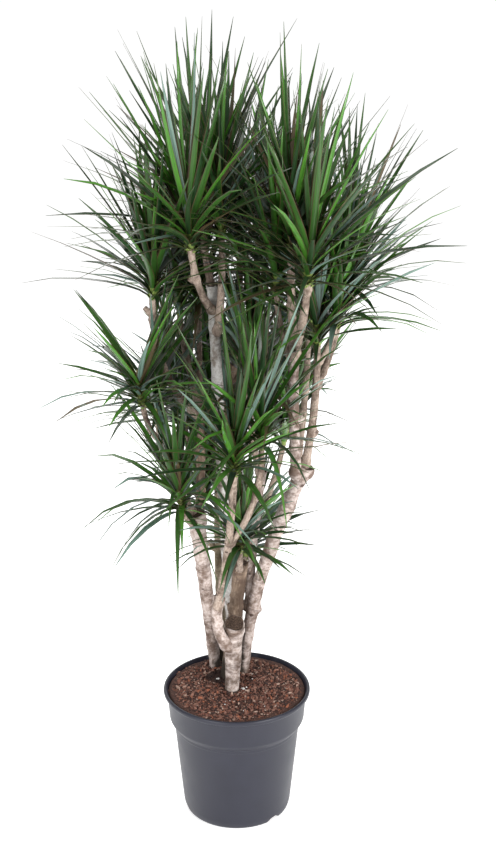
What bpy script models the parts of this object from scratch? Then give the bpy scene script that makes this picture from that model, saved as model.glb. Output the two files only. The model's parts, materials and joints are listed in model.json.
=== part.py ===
"""Potted Madagascar dragon tree: six cut-back canes in a grey nursery pot, their boughs and leaf heads.

Metres, +Z up. The origin is the middle of the pot's flat underside. -Y is the front of the plant.
A limb is a circular arc in a vertical plane. It is given by its heading (degrees from +X towards +Y),
its mean lean from the vertical, its length, its curl (how far it straightens up on its way) and the
radii at its foot and tip. A bough starts inside the limb that carries it, at a share of that limb's
length, and is cut clear of its bark.
"""
from collections import namedtuple
import math
import random

import bmesh
import bpy
from mathutils import Matrix, Vector

UP = Vector((0.0, 0.0, 1.0))
GAP = 0.0003                      # clearance between pieces that meet
GOLDEN_ANGLE = 137.508            # turn from one leaf to the next, degrees

# The pot: outer radius and height of each ring, from the flat underside to the rolled lip
POT_SIDES = 32
POT_WALL = 0.002
POT_OUTSIDE = ((0.092, 0.0), (0.0995, 0.0035), (0.103, 0.014), (0.1195, 0.181), (0.1285, 0.193),
               (0.1325, 0.2445), (0.1385, 0.2455), (0.140, 0.2505), (0.1375, 0.255))
POT_INSIDE = ((0.1335, 0.2535), (0.1305, 0.2465), (0.1265, 0.1945), (0.1175, 0.1825),
              (0.101, 0.0145), (0.0975, 0.0048), (0.0925, POT_WALL))
NOTCH_ANGLES = (-45, 75, 195)     # drain notches through the rounded bottom edge
NOTCH_RADIUS = 0.018
NOTCH_HEIGHT = 0.013
NOTCH_INNER_REACH = 0.086
NOTCH_LENGTH = 0.034

# The soil: it fills the pot and lies level round the canes, a little lower along the wall
SOIL_TOP = 0.250
SOIL_EDGE_DROP = 0.004
SOIL_LEVEL_RADIUS = 0.1285

# Canes and boughs
CANE_SIDES = 8
BOUGH_SIDES = 6
RING_SPACING = 0.06
FLARE = 0.0012                    # how much wider a cane is where it enters the soil
FLARE_HEIGHT = 0.018

Cane = namedtuple("Cane", "name foot heading lean length curl foot_radius tip_radius")
CANES = (
    Cane("cane_left", (-0.043, 0.088), -122, 10, 0.349, -2, 0.0113, 0.0152),
    Cane("cane_front", (-0.009, -0.01), -21, 2, 0.14, 0, 0.0135, 0.017),
    Cane("cane_right", (0.0105, 0.064), -25, 16, 0.467, -20, 0.0118, 0.0125),
    Cane("cane_middle", (-0.018, 0.046), -15, 6, 0.243, 4, 0.014, 0.013),
    Cane("cane_tall", (-0.005, 0.104), -116, 6, 0.782, 3, 0.012, 0.0095),
    Cane("cane_slim", (-0.0285, 0.1115), -139, 1, 0.383, 4, 0.0095, 0.009),
)

Bough = namedtuple("Bough", "name limb at heading lean length curl foot_radius tip_radius")
BOUGHS = (
    Bough("bough_left_low", "cane_left", 0.965, 175, 19, 0.214, 34, 0.0085, 0.006),
    Bough("bough_left_dark", "cane_left", 0.9, 79, 6, 0.241, 30, 0.009, 0.0075),
    Bough("bough_left_hooked", "bough_left_dark", 0.88, -142, 22, 0.275, 52, 0.007, 0.0055),
    Bough("bough_left_rear", "bough_left_dark", 0.97, 121, 24, 0.182, 26, 0.0065, 0.0055),
    Bough("bough_left_thin", "bough_left_dark", 0.8, 93, 12, 0.231, 34, 0.0055, 0.0048),
    Bough("bough_front_cut", "cane_front", 0.62, -143, 15, 0.13, 70, 0.0105, 0.01),
    Bough("bough_front", "bough_front_cut", 0.8, -70, 18, 0.323, 20, 0.0075, 0.006),
    Bough("bough_front_right", "bough_front", 0.52, -5, 17, 0.205, 40, 0.006, 0.0052),
    Bough("bough_slim", "cane_right", 0.13, 2, 5, 0.359, -5, 0.0085, 0.007),
    Bough("bough_slim_top", "bough_slim", 0.96, -129, 10, 0.208, 26, 0.0065, 0.0055),
    Bough("bough_slim_rear", "bough_slim", 0.72, 62, 43, 0.169, 36, 0.006, 0.0052),
    Bough("bough_right_inner", "cane_right", 0.92, -108, 7, 0.283, 22, 0.01, 0.0095),
    Bough("bough_right_mid", "bough_right_inner", 0.97, -106, 9, 0.185, 14, 0.0075, 0.006),
    Bough("bough_right_fore", "bough_right_inner", 0.9, -74, 27, 0.166, 26, 0.008, 0.006),
    Bough("bough_right_outer", "cane_right", 0.975, -47, 7, 0.248, 18, 0.008, 0.006),
    Bough("bough_right_far", "bough_right_outer", 0.68, 59, 33, 0.185, 40, 0.0065, 0.0055),
    Bough("bough_right_rear", "cane_right", 0.88, 77, 25, 0.319, 36, 0.007, 0.0055),
    Bough("bough_tall_left", "cane_tall", 0.94, -111, 37, 0.169, 46, 0.007, 0.0055),
    Bough("bough_tall_right", "cane_tall", 0.865, -67, 9, 0.207, 30, 0.0075, 0.0055),
    Bough("bough_tall_mid", "cane_tall", 0.985, 114, 24, 0.106, 24, 0.007, 0.0055),
    Bough("bough_back", "cane_tall", 0.6, 69, 17, 0.346, 26, 0.0085, 0.006),
    Bough("bough_slim_right", "cane_slim", 0.86, 74, 46, 0.168, 40, 0.0065, 0.0055),
)

# Leaf heads that stand on the end of a bough: length of the blades, and how much they sag
TipHead = namedtuple("TipHead", "name limb blade sag")
TIP_HEADS = (
    TipHead("leaves_left_low", "bough_left_low", 0.25, 0.6),
    TipHead("leaves_left_hooked", "bough_left_hooked", 0.285, 0.45),
    TipHead("leaves_left_rear", "bough_left_rear", 0.28, 0.6),
    TipHead("leaves_left_thin", "bough_left_thin", 0.27, 0.5),
    TipHead("leaves_front", "bough_front", 0.245, 0.55),
    TipHead("leaves_front_right", "bough_front_right", 0.27, 0.85),
    TipHead("leaves_slim_top", "bough_slim_top", 0.245, 0.45),
    TipHead("leaves_slim_rear", "bough_slim_rear", 0.27, 0.7),
    TipHead("leaves_right_mid", "bough_right_mid", 0.3, 0.3),
    TipHead("leaves_right_fore", "bough_right_fore", 0.31, 0.45),
    TipHead("leaves_right_outer", "bough_right_outer", 0.22, 0.5),
    TipHead("leaves_right_far", "bough_right_far", 0.29, 0.55),
    TipHead("leaves_right_rear", "bough_right_rear", 0.26, 0.55),
    TipHead("leaves_tall_left", "bough_tall_left", 0.315, 0.5),
    TipHead("leaves_tall_right", "bough_tall_right", 0.27, 0.3),
    TipHead("leaves_tall_mid", "bough_tall_mid", 0.33, 0.3),
    TipHead("leaves_back", "bough_back", 0.29, 0.4),
    TipHead("leaves_slim_right", "bough_slim_right", 0.26, 0.8),
)

# Leaf heads on a shoot of their own from the side of a limb
SideHead = namedtuple("SideHead", "name limb at heading lean length curl blade sag")
SIDE_HEADS = (
    SideHead("leaves_left_drooping", "cane_left", 0.945, -108, 54, 0.093, 44, 0.25, 1.5),
    SideHead("leaves_left_inner", "cane_left", 0.88, 85, 57, 0.075, 40, 0.235, 0.9),
    SideHead("leaves_left_fore", "bough_left_low", 0.78, -106, 43, 0.14, 44, 0.235, 0.75),
    SideHead("leaves_left_middle", "bough_left_dark", 0.55, 116, 61, 0.09, 40, 0.245, 0.6),
    SideHead("leaves_low_fore", "cane_middle", 0.95, -89, 48, 0.116, 40, 0.18, 1.0),
    SideHead("leaves_low_right", "cane_middle", 0.84, 78, 70, 0.072, 40, 0.21, 0.9),
    SideHead("leaves_right_hanging", "bough_right_inner", 0.84, 165, 13, 0.138, 24, 0.27, 0.5),
    SideHead("leaves_right_edge", "bough_right_outer", 0.86, 43, 36, 0.077, 40, 0.25, 0.6),
    SideHead("leaves_right_low", "bough_right_rear", 0.35, 96, 78, 0.131, 30, 0.205, 0.7),
    SideHead("leaves_back_far", "bough_back", 0.8, 61, 47, 0.124, 34, 0.27, 0.6),
    SideHead("leaves_slim_left", "cane_slim", 0.95, 100, 37, 0.142, 36, 0.27, 0.8),
)

# The leafy stem of a head, and its sword-shaped blades
STEM_SIDES = 4
STEM_LENGTH = 0.07
STEM_FOOT_RADIUS = 0.0052
STEM_TIP_RADIUS = 0.0036
SHOOT_RADIUS = 0.0055
LEAFY_FROM = 0.3                  # share of the stem below the lowest leaf
LEAFY_TO = 0.98
LEAVES_PER_HEAD = 20
BLADE_WIDTH = 0.014
BLADE_SLIMNESS = 92               # length over thickness
BLADE_SECTIONS = (0.16, 0.58)     # where along its length a blade has a full cross-section
LOWEST_SPREAD = 95                # angle between an old leaf and the stem
YOUNGEST_SPREAD = 8
CELL = 0.0062                     # cell size of the test that keeps each head to its own space
GROWTH_SEED = 7

Finish = namedtuple("Finish", "colour roughness")
PLASTIC = Finish((0.09, 0.095, 0.115), 0.5)
PEAT = Finish((0.085, 0.035, 0.02), 0.95)
BARK = Finish((0.46, 0.38, 0.31), 0.85)
LEAF = Finish((0.045, 0.16, 0.03), 0.4)


def direction(heading, lean):
    return Vector((math.sin(lean) * math.cos(heading), math.sin(lean) * math.sin(heading), math.cos(lean)))


class Arc:
    """A limb's centre line: a circular arc in the vertical plane of its heading."""

    def __init__(self, start, heading, lean, length, curl):
        self.start = Vector(start)
        self.heading = math.radians(heading)
        self.first_lean = math.radians(lean + curl / 2)
        self.curl = math.radians(curl)
        self.length = length

    def lean(self, share):
        return self.first_lean - self.curl * share

    def direction(self, share):
        return direction(self.heading, self.lean(share))

    def point(self, share):
        outward = Vector((math.cos(self.heading), math.sin(self.heading), 0.0))
        if abs(self.curl) < 1e-6:
            return self.start + self.direction(0) * self.length * share
        radius = self.length / self.curl
        reach = radius * (math.cos(self.lean(share)) - math.cos(self.first_lean))
        rise = radius * (math.sin(self.first_lean) - math.sin(self.lean(share)))
        return self.start + outward * reach + UP * rise

    def frame(self, share, along=0.0):
        """A matrix with +Z along the arc, at its point moved along by a small length."""
        ahead = self.direction(share)
        side = Vector((-math.sin(self.heading), math.cos(self.heading), 0.0))
        turn = Matrix((side.cross(ahead), side, ahead)).transposed().to_4x4()
        return Matrix.Translation(self.point(share) + ahead * along) @ turn


class Limb:
    """A cane, bough or shoot: an arc with a radius at its foot and at its tip."""

    def __init__(self, name, arc, foot_radius, tip_radius, sides):
        self.name = name
        self.arc = arc
        self.foot_radius = foot_radius
        self.tip_radius = tip_radius
        self.sides = sides

    def radius(self, share):
        return self.foot_radius + (self.tip_radius - self.foot_radius) * share

    def skin(self, spacing):
        """Points all over the limb's bark."""
        rings = math.ceil(self.arc.length / spacing)
        around = math.ceil(2 * math.pi * self.foot_radius / spacing)
        for k in range(rings + 1):
            frame = self.arc.frame(k / rings)
            for turn in range(around):
                angle = 2 * math.pi * turn / around
                rim = Vector((math.cos(angle), math.sin(angle), 0.0)) * self.radius(k / rings)
                yield frame @ rim


def join_rings(bm, frames):
    """A closed body through rings, each given as a matrix, a radius and a number of sides."""
    loops = []
    for frame, radius, sides in frames:
        ring = bmesh.ops.create_circle(bm, cap_ends=False, radius=radius, segments=sides, matrix=frame)
        loops.append(list({edge for vert in ring["verts"] for edge in vert.link_edges}))
    for lower, upper in zip(loops, loops[1:]):
        bmesh.ops.bridge_loops(bm, edges=lower + upper)
    return [bmesh.ops.contextual_create(bm, geom=loop)["faces"][0] for loop in (loops[0], loops[-1])]


def draw_to_point(bm, cap, point):
    """Turns an end face into a pointed end."""
    middle = bmesh.ops.poke(bm, faces=[cap])["verts"][0]
    middle.co = point


def make_object(name, bm):
    bmesh.ops.recalc_face_normals(bm, faces=bm.faces)
    mesh = bpy.data.meshes.new(name)
    bm.to_mesh(mesh)
    bm.free()
    piece = bpy.data.objects.new(name, mesh)
    bpy.context.scene.collection.objects.link(piece)
    return piece


def finish_piece(piece, finish):
    material = bpy.data.materials.new(piece.name + "_finish")
    material.use_nodes = True
    surface = material.node_tree.nodes["Principled BSDF"]
    surface.inputs["Base Color"].default_value = (*finish.colour, 1.0)
    surface.inputs["Roughness"].default_value = finish.roughness
    material.diffuse_color = (*finish.colour, 1.0)
    piece.data.materials.clear()
    piece.data.materials.append(material)


def smooth(piece, angle):
    piece.data.shade_smooth()
    piece.data.set_sharp_from_angle(angle=math.radians(angle))


def make_cutter(piece):
    piece.hide_render = True
    piece.display_type = "WIRE"


def cut(piece, cutter):
    boolean = piece.modifiers.new("cut_" + cutter.name, "BOOLEAN")
    boolean.operation = "DIFFERENCE"
    boolean.object = cutter


def flat_ring(radius, height):
    return Matrix.Translation((0.0, 0.0, height)), radius, POT_SIDES


def build_pot():
    """The moulded shell: up the outside, over the rolled lip and down the inside."""
    bm = bmesh.new()
    join_rings(bm, [flat_ring(*ring) for ring in POT_OUTSIDE + POT_INSIDE])
    pot = make_object("pot", bm)
    for angle in NOTCH_ANGLES:
        bm = bmesh.new()
        turn = Matrix.Rotation(math.radians(angle), 4, "Z") @ Matrix.Rotation(math.pi / 2, 4, "Y")
        middle = Matrix.Translation((0.0, 0.0, NOTCH_HEIGHT - NOTCH_RADIUS))
        frames = []
        for reach in (NOTCH_INNER_REACH, NOTCH_INNER_REACH + NOTCH_LENGTH):
            frames.append((middle @ turn @ Matrix.Translation((0.0, 0.0, reach)), NOTCH_RADIUS, 20))
        join_rings(bm, frames)
        cutter = make_object(f"pot_notch_cutter_{angle}", bm)
        make_cutter(cutter)
        cut(pot, cutter)
    smooth(pot, 35)
    finish_piece(pot, PLASTIC)


def build_soil():
    """The root ball and potting mix as one body that follows the inside of the pot."""
    wall_share = math.cos(math.pi / POT_SIDES)
    inside = [(radius - GAP / wall_share, height) for radius, height in POT_INSIDE]
    floor_radius, floor_height = inside[-1]
    rings = [(floor_radius, floor_height + GAP)]
    rings += list(reversed(inside[2:-1]))
    rim_radius, rim_height = inside[1]
    rings.append((rim_radius, min(rim_height, SOIL_TOP - SOIL_EDGE_DROP)))
    rings.append((SOIL_LEVEL_RADIUS, SOIL_TOP))
    bm = bmesh.new()
    join_rings(bm, [flat_ring(*ring) for ring in rings])
    soil = make_object("potting_soil", bm)
    smooth(soil, 35)
    finish_piece(soil, PEAT)


def limb_rings(limb, swell=0.0):
    count = max(3, math.ceil(limb.arc.length / RING_SPACING))
    frames = [(limb.arc.frame(k / count), limb.radius(k / count) + swell, limb.sides) for k in range(1, count)]
    frames.append((limb.arc.frame(1.0, along=swell), limb.tip_radius + swell, limb.sides))
    return frames


def build_cane(limb):
    """A cane stands on a flat cut, level with the soil, and flares a little there."""
    bm = bmesh.new()
    flare_share = FLARE_HEIGHT / limb.arc.length
    foot = [(limb.arc.frame(0.0), limb.foot_radius + FLARE, limb.sides),
            (limb.arc.frame(flare_share), limb.radius(flare_share), limb.sides)]
    foot_cap, _ = join_rings(bm, foot + limb_rings(limb))
    for vert in foot_cap.verts:
        vert.co.z = SOIL_TOP + GAP
    cane = make_object(limb.name, bm)
    smooth(cane, 40)
    finish_piece(cane, BARK)


def build_rooted(bm, limb):
    """A limb that starts as a point inside its parent and is full a little way out."""
    full_share = 0.8 * limb.foot_radius / limb.arc.length
    full = (limb.arc.frame(full_share), limb.foot_radius, limb.sides)
    foot_cap, tip_cap = join_rings(bm, [full] + limb_rings(limb))
    draw_to_point(bm, foot_cap, limb.arc.start)
    return tip_cap


def cutter_for(limb):
    """The limb's shape made larger by the gap, which trims what grows out of it."""
    name = "clearance_" + limb.name
    if name not in bpy.data.objects:
        bm = bmesh.new()
        swell = GAP * 1.2 / math.cos(math.pi / limb.sides)
        foot = (limb.arc.frame(0.0, along=-swell), limb.foot_radius + swell, limb.sides)
        join_rings(bm, [foot] + limb_rings(limb, swell))
        make_cutter(make_object(name, bm))
    return bpy.data.objects[name]


def build_bough(limb, parent):
    bm = bmesh.new()
    build_rooted(bm, limb)
    bough = make_object(limb.name, bm)
    cut(bough, cutter_for(parent))
    smooth(bough, 40)
    finish_piece(bough, BARK)


class Blade:
    """A leaf: it leaves the stem at its spread and sinks under its own weight."""

    def __init__(self, root, stem_direction, azimuth, spread, length, sag):
        side = Vector((math.cos(azimuth), math.sin(azimuth), 0.0))
        side -= stem_direction * side.dot(stem_direction)
        self.aim = stem_direction * math.cos(spread) + side.normalized() * math.sin(spread)
        self.root = root
        self.length = length
        self.sag = sag

    def point(self, share):
        return self.root + (self.aim * share - UP * self.sag * share ** 2.5 / 2.5) * self.length

    def tangent(self, share):
        return (self.aim - UP * self.sag * share ** 1.5).normalized()

    def width(self, share):
        return BLADE_WIDTH * min(1.0, 0.55 + 2.2 * share) * (1.0 - share ** 2.2)

    def across(self, share):
        return self.tangent(share).cross(UP).normalized()

    def covered(self):
        """Points along the midrib and both edges."""
        steps = math.ceil(self.length / CELL)
        for k in range(steps + 1):
            share = k / steps
            middle = self.point(share)
            edge = self.across(share) * self.width(share) / 2
            yield from (middle, middle + edge, middle - edge)

    def build(self, name):
        """A slim closed body: root point, two three-sided sections with a keel, and the tip."""
        bm = bmesh.new()
        thickness = self.length / BLADE_SLIMNESS
        frames = []
        for share in BLADE_SECTIONS:
            ahead = self.tangent(share)
            across = self.across(share)
            turn = Matrix((across, ahead.cross(across), ahead)).transposed().to_4x4()
            widen = Matrix.Diagonal((self.width(share) / math.sqrt(3), thickness / 1.5, 1.0, 1.0))
            frames.append((Matrix.Translation(self.point(share)) @ turn @ widen, 1.0, 3))
        root_cap, tip_cap = join_rings(bm, frames)
        draw_to_point(bm, root_cap, self.root)
        draw_to_point(bm, tip_cap, self.point(1.0))
        return make_object(name, bm)


class Space:
    """Which head or limb holds each small cell of the crown."""

    NEIGHBOURS = [(i, j, k) for i in (-1, 0, 1) for j in (-1, 0, 1) for k in (-1, 0, 1)]

    def __init__(self):
        self.cells = {}

    def take(self, points, owner):
        for point in points:
            cell = tuple(math.floor(value / CELL) for value in point)
            self.cells.setdefault(cell, set()).add(owner)

    def is_free(self, points, owner):
        for point in points:
            x, y, z = (math.floor(value / CELL) for value in point)
            for i, j, k in self.NEIGHBOURS:
                holders = self.cells.get((x + i, y + j, z + k))
                if holders and (len(holders) > 1 or owner not in holders):
                    return False
        return True


class Head:
    """A rosette of leaves: a short leafy stem at the end of a bough, or of its own shoot."""

    def __init__(self, name, foot_limb, shoot, carrier, blade, sag):
        self.name = name
        self.shoot = shoot
        self.carrier = carrier
        self.blade = blade
        self.sag = sag
        self.blades = []
        end_lean = math.degrees(foot_limb.arc.lean(1.0))
        gap = 0.0 if shoot else GAP
        foot = foot_limb.arc.point(1.0) + foot_limb.arc.direction(1.0) * gap
        heading = math.degrees(foot_limb.arc.heading)
        axis = Arc(foot, heading, end_lean * 0.75, STEM_LENGTH, end_lean * 0.5)
        self.stem = Limb(name, axis, STEM_FOOT_RADIUS, STEM_TIP_RADIUS, STEM_SIDES)

    def grow_leaf(self, number, start_angle, space, chance):
        """Places one leaf by the golden angle; one that would leave its space turns, shortens or is skipped."""
        age = (number + 0.5) / LEAVES_PER_HEAD
        share = LEAFY_FROM + (LEAFY_TO - LEAFY_FROM) * age
        spread = LOWEST_SPREAD + (YOUNGEST_SPREAD - LOWEST_SPREAD) * age ** 0.7 + chance.uniform(-5, 5)
        length = self.blade * (0.74 + 0.30 * age ** 0.7) * (1 - 0.16 * age ** 8) * chance.uniform(0.9, 1.06)
        sag = self.sag * (0.12 + 0.88 * (1 - age) ** 1.1) * chance.uniform(0.8, 1.2)
        azimuth = start_angle + number * GOLDEN_ANGLE + chance.uniform(-8, 8)
        for shorter in (1.0, 0.86, 0.72, 0.6):
            for tilt in (0, -13, 13):
                for turn in (0, 17, -17, 34, -34, 52, -52):
                    blade = Blade(self.stem.arc.point(share), self.stem.arc.direction(share),
                                  math.radians(azimuth + turn), math.radians(max(4, spread + tilt)),
                                  length * shorter, sag)
                    covered = list(blade.covered())
                    if space.is_free(covered, self.name):
                        space.take(covered, self.name)
                        self.blades.append(blade)
                        return

    def build(self):
        bm = bmesh.new()
        if self.shoot:
            build_rooted(bm, self.shoot)
        else:
            foot = (self.stem.arc.frame(0.0), self.stem.foot_radius, self.stem.sides)
            join_rings(bm, [foot] + limb_rings(self.stem))
        head = make_object(self.name, bm)
        if self.shoot:
            cut(head, cutter_for(self.carrier))
        parts = bpy.data.collections.new(self.name + "_parts")
        bodies = [blade.build(f"{self.name}_blade_{k}") for k, blade in enumerate(self.blades)]
        if self.shoot:
            bm = bmesh.new()
            foot = (self.stem.arc.frame(0.0, along=-STEM_FOOT_RADIUS), self.stem.foot_radius, self.stem.sides)
            join_rings(bm, [foot] + limb_rings(self.stem))
            bodies.append(make_object(self.name + "_axis", bm))
        for body in bodies:
            parts.objects.link(body)
        union = head.modifiers.new("leaves", "BOOLEAN")
        union.operation = "UNION"
        union.operand_type = "COLLECTION"
        union.collection = parts
        joined = head.evaluated_get(bpy.context.evaluated_depsgraph_get())
        head.data = bpy.data.meshes.new_from_object(joined)
        head.modifiers.clear()
        for body in bodies:
            bpy.data.objects.remove(body)
        bpy.data.collections.remove(parts)
        smooth(head, 30)
        finish_piece(head, LEAF)


def plan_limbs():
    limbs = {}
    for cane in CANES:
        arc = Arc((*cane.foot, SOIL_TOP + GAP), cane.heading, cane.lean, cane.length, cane.curl)
        limbs[cane.name] = Limb(cane.name, arc, cane.foot_radius, cane.tip_radius, CANE_SIDES)
    for bough in BOUGHS:
        start = limbs[bough.limb].arc.point(bough.at)
        arc = Arc(start, bough.heading, bough.lean, bough.length, bough.curl)
        limbs[bough.name] = Limb(bough.name, arc, bough.foot_radius, bough.tip_radius, BOUGH_SIDES)
    return limbs


def plan_heads(limbs):
    heads = [Head(tip.name, limbs[tip.limb], None, limbs[tip.limb], tip.blade, tip.sag) for tip in TIP_HEADS]
    for side in SIDE_HEADS:
        carrier = limbs[side.limb]
        arc = Arc(carrier.arc.point(side.at), side.heading, side.lean, side.length, side.curl)
        shoot = Limb(side.name, arc, SHOOT_RADIUS, STEM_FOOT_RADIUS, STEM_SIDES)
        heads.append(Head(side.name, shoot, shoot, carrier, side.blade, side.sag))
    return heads


def grow_crown(limbs, heads):
    """All heads grow together, their lowest leaves first, so that each gets its share of the room."""
    space = Space()
    for limb in limbs.values():
        space.take(limb.skin(CELL), limb.name)
    for head in heads:
        space.take(head.stem.skin(CELL), head.name)
        if head.shoot:
            space.take(head.shoot.skin(CELL), head.name)
    chance = random.Random(GROWTH_SEED)
    start_angles = {head.name: chance.uniform(0, 360) for head in heads}
    for number in range(LEAVES_PER_HEAD):
        for head in heads:
            head.grow_leaf(number, start_angles[head.name], space, chance)


for leftover in list(bpy.data.objects):
    bpy.data.objects.remove(leftover, do_unlink=True)

build_pot()
build_soil()
all_limbs = plan_limbs()
for cane in CANES:
    build_cane(all_limbs[cane.name])
for bough in BOUGHS:
    build_bough(all_limbs[bough.name], all_limbs[bough.limb])
all_heads = plan_heads(all_limbs)
grow_crown(all_limbs, all_heads)
for head in all_heads:
    head.build()
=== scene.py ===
"""A potted Madagascar dragon tree, dressed for a white studio: pot, soil, canes, boughs and leaf heads.

Metres, +Z up. The origin is the middle of the pot's flat underside, and -Y is the front of the plant.
"""

import json
import math
import random
from collections import namedtuple

import bmesh
import bpy
from mathutils import Matrix, Vector, kdtree, noise

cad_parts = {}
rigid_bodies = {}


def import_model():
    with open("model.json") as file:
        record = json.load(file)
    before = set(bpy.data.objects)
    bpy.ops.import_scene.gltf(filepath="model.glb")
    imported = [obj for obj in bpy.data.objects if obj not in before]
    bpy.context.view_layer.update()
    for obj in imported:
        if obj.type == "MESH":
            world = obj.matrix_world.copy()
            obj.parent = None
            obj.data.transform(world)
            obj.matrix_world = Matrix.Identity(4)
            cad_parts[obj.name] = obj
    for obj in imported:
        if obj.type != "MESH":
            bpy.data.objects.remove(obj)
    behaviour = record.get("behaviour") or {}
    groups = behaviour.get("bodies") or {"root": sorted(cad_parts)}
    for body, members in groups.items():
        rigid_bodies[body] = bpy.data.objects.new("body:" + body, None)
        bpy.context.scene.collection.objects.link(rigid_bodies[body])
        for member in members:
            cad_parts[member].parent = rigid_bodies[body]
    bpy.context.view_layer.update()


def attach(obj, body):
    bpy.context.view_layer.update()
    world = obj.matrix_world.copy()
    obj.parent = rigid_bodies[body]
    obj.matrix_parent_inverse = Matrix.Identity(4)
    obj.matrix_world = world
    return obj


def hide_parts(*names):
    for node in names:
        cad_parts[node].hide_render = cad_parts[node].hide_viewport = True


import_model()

# The pot: a round nursery pot, injection-moulded in blue-grey polypropylene, with a rolled lip, a deep
# collar for stacking, a tapered body and three drain notches through its rounded bottom edge.
POT_STEPS = 128
POT_WALL = 0.002
# Radius and height of each corner, and how far it is rounded
POT_PROFILE = (
    (0.0, 0.0, 0.0), (0.0925, 0.0, 0.001), (0.0995, 0.0032, 0.003), (0.103, 0.014, 0.005),
    (0.1190, 0.1765, 0.0006), (0.1196, 0.1775, 0.0006), (0.1200, 0.1830, 0.0015), (0.1236, 0.1872, 0.0008),
    (0.1244, 0.1882, 0.0008), (0.1285, 0.1945, 0.003), (0.1325, 0.2440, 0.0012), (0.1383, 0.2452, 0.0018),
    (0.1400, 0.2500, 0.0022), (0.1380, 0.2550, 0.0022), (0.1338, 0.2540, 0.0016), (0.1305, 0.2465, 0.001),
    (0.1265, 0.1945, 0.003), (0.1175, 0.1825, 0.003), (0.1010, 0.0145, 0.004), (0.0925, POT_WALL, 0.002),
    (0.0, POT_WALL, 0.0),
)
CORNER_STEPS = 3  # steps in which a corner is rounded
SHARP_ANGLE = 38  # in degrees, above which an edge is shaded as sharp
NOTCH_ANGLES = (-45, 75, 195)
NOTCH_RADIUS = 0.018
NOTCH_STEPS = 40
NOTCH_MIDDLE = -0.005  # height of the cutter's axis, under the floor
NOTCH_START = 0.086  # from the pot's axis
NOTCH_LENGTH = 0.034
GAP = 0.0003  # air between pieces that touch


def linear(hex_colour):
    """An sRGB hex colour as the linear values that a shader takes."""
    values = [int(hex_colour[k:k + 2], 16) / 255 for k in (1, 3, 5)]
    return (*(v / 12.92 if v <= 0.04045 else ((v + 0.055) / 1.055) ** 2.4 for v in values), 1.0)


def add_node(tree, kind, links=(), **settings):
    """Adds a shader node: its settings by name, its sockets by (input, value or output socket)."""
    node = tree.nodes.new(kind)
    for name, value in settings.items():
        setattr(node, name, value)
    for socket, value in links:
        if isinstance(value, bpy.types.NodeSocket):
            tree.links.new(value, node.inputs[socket])
        else:
            node.inputs[socket].default_value = value
    return node


def new_material(name, **sockets):
    """A Principled material with its constant sockets set, its node tree and its shader node."""
    material = bpy.data.materials.new(name)
    material.use_nodes = True
    shader = material.node_tree.nodes["Principled BSDF"]
    for socket, value in sockets.items():
        shader.inputs[socket.replace("_", " ")].default_value = value
    return material, material.node_tree, shader


def colour_ramp(tree, factor, *stops):
    """A ramp between two stops, each a position and a hex colour."""
    ramp = add_node(tree, "ShaderNodeValToRGB", [("Fac", factor)])
    for element, (position, colour) in zip(ramp.color_ramp.elements, stops):
        element.position = position
        element.color = linear(colour)
    return ramp.outputs["Color"]


def add_noise(tree, scale, detail, roughness=0.5, place=None):
    """Cloudy values around 0.5, in waves a metre along each axis, at a place or the object's own points."""
    if place is None:
        place = add_node(tree, "ShaderNodeTexCoord").outputs["Object"]
    mapping = add_node(tree, "ShaderNodeMapping", [("Vector", place), ("Scale", scale)])
    return add_node(tree, "ShaderNodeTexNoise", [("Vector", mapping.outputs["Vector"]), ("Scale", 1.0),
                    ("Detail", detail), ("Roughness", roughness)]).outputs["Fac"]


def map_range(tree, value, start, end, low, high):
    """Takes the values from start to end to the values from low to high, and no further."""
    return add_node(tree, "ShaderNodeMapRange", enumerate((value, start, end, low, high))).outputs["Result"]


def add_bump(tree, height, strength, distance):
    return add_node(tree, "ShaderNodeBump", [("Height", height), ("Strength", strength),
                    ("Distance", distance)]).outputs["Normal"]


def connect(shader, **sockets):
    """Links patterns to the shader's sockets."""
    for socket, value in sockets.items():
        shader.id_data.links.new(value, shader.inputs[socket.replace("_", " ")])


def new_mesh(name, bm):
    """A mesh from a bmesh, which is freed."""
    mesh = bpy.data.meshes.new(name)
    bm.to_mesh(mesh)
    bm.free()
    return mesh


def new_object(name, data):
    """An object at the origin of the scene."""
    thing = bpy.data.objects.new(name, data)
    bpy.context.scene.collection.objects.link(thing)
    return thing


def new_piece(name, bm, materials, slot, *nodes):
    """Makes a finished piece that rides on the plant and stands for its CAD nodes."""
    piece = new_object(name, new_mesh(name, bm))
    for material in materials:
        piece.data.materials.append(material)
    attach(piece, "root")
    if nodes:
        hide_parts(*nodes)
    return piece


def spun(profile, steps):
    """A closed body of revolution from (radius, height, rounding) corners, first and last on the axis."""
    bm = bmesh.new()
    corners = [bm.verts.new((radius, 0.0, height)) for radius, height, _ in profile]
    for start, end in zip(corners, corners[1:]):
        bm.edges.new((start, end))
    for corner, (_, _, rounding) in zip(corners, profile):
        if rounding:
            bmesh.ops.bevel(bm, geom=[corner], offset=rounding, segments=CORNER_STEPS, profile=0.5,
                            affect="VERTICES", material=-1)
    bmesh.ops.spin(bm, geom=bm.verts[:] + bm.edges[:], cent=(0, 0, 0), axis=(0, 0, 1), dvec=(0, 0, 0),
                   angle=2 * math.pi, steps=steps, use_merge=True)
    bmesh.ops.remove_doubles(bm, verts=bm.verts, dist=1e-6)
    bmesh.ops.recalc_face_normals(bm, faces=bm.faces)
    return bm


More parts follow.
